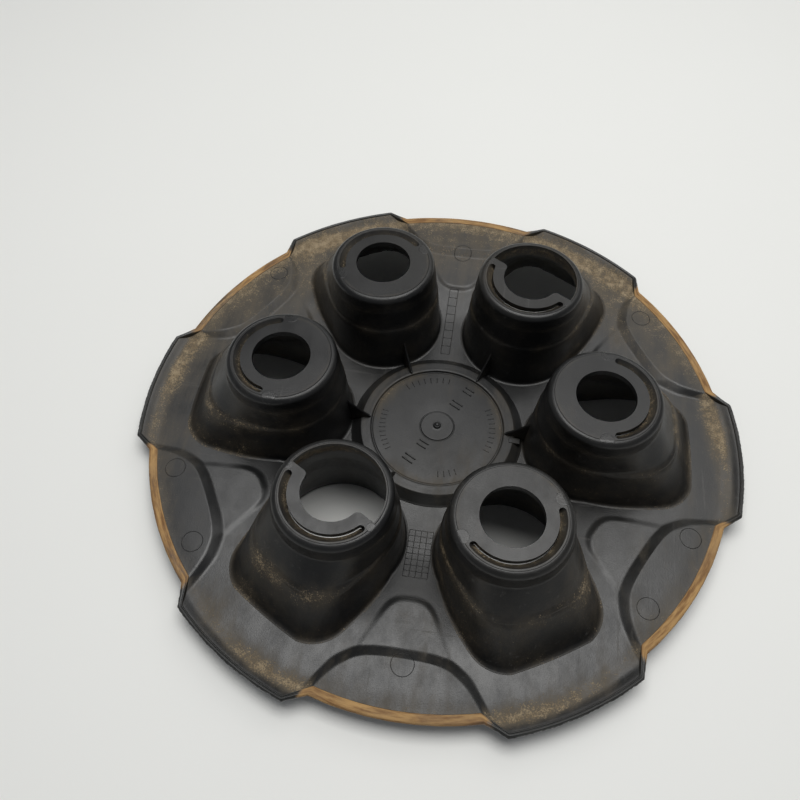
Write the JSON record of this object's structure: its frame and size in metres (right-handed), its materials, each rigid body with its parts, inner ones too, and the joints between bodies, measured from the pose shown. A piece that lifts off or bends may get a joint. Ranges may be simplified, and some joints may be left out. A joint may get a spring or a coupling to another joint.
{
  "type": "wheel cover",
  "caption": "Round one-piece moulded cover for a van wheel, seen from the wheel side, with tall nut sockets and a lobed rim.",
  "frame": {"origin": "on the wheel axis, in the plane the road face rests on", "axes": "+Z along the wheel axis, towards the wheel; +X through the middle of socket 3 and its rim lobe"},
  "size_m": [0.3396, 0.3242, 0.058],
  "materials": {
    "black_nylon": "fine moulded texture, worn, with road dust"
  },
  "bodies": {
    "root": {"rim_lip": "black_nylon", "centre_disc": "black_nylon", "dish_web": "black_nylon", "valley_floor_1_2": "black_nylon", "valley_floor_2_3": "black_nylon", "valley_floor_3_4": "black_nylon", "valley_floor_4_5": "black_nylon", "valley_floor_5_6": "black_nylon", "valley_floor_6_1": "black_nylon", "lobe_floor_1": "black_nylon", "lobe_floor_2": "black_nylon", "lobe_floor_3": "black_nylon", "lobe_floor_4": "black_nylon", "lobe_floor_5": "black_nylon", "lobe_floor_6": "black_nylon", "nut_socket_1": "black_nylon", "nut_socket_2": "black_nylon", "nut_socket_3": "black_nylon", "nut_socket_4": "black_nylon", "nut_socket_5": "black_nylon", "nut_socket_6": "black_nylon", "end_ring_1": "black_nylon", "end_ring_3": "black_nylon", "end_ring_4": "black_nylon", "end_ring_6": "black_nylon", "nut_clip_2": "black_nylon", "nut_clip_5": "black_nylon", "gusset_1": "black_nylon", "gusset_2": "black_nylon", "gusset_3": "black_nylon", "gusset_4": "black_nylon", "gusset_5": "black_nylon", "gusset_6": "black_nylon"}
  },
  "joints": []
}
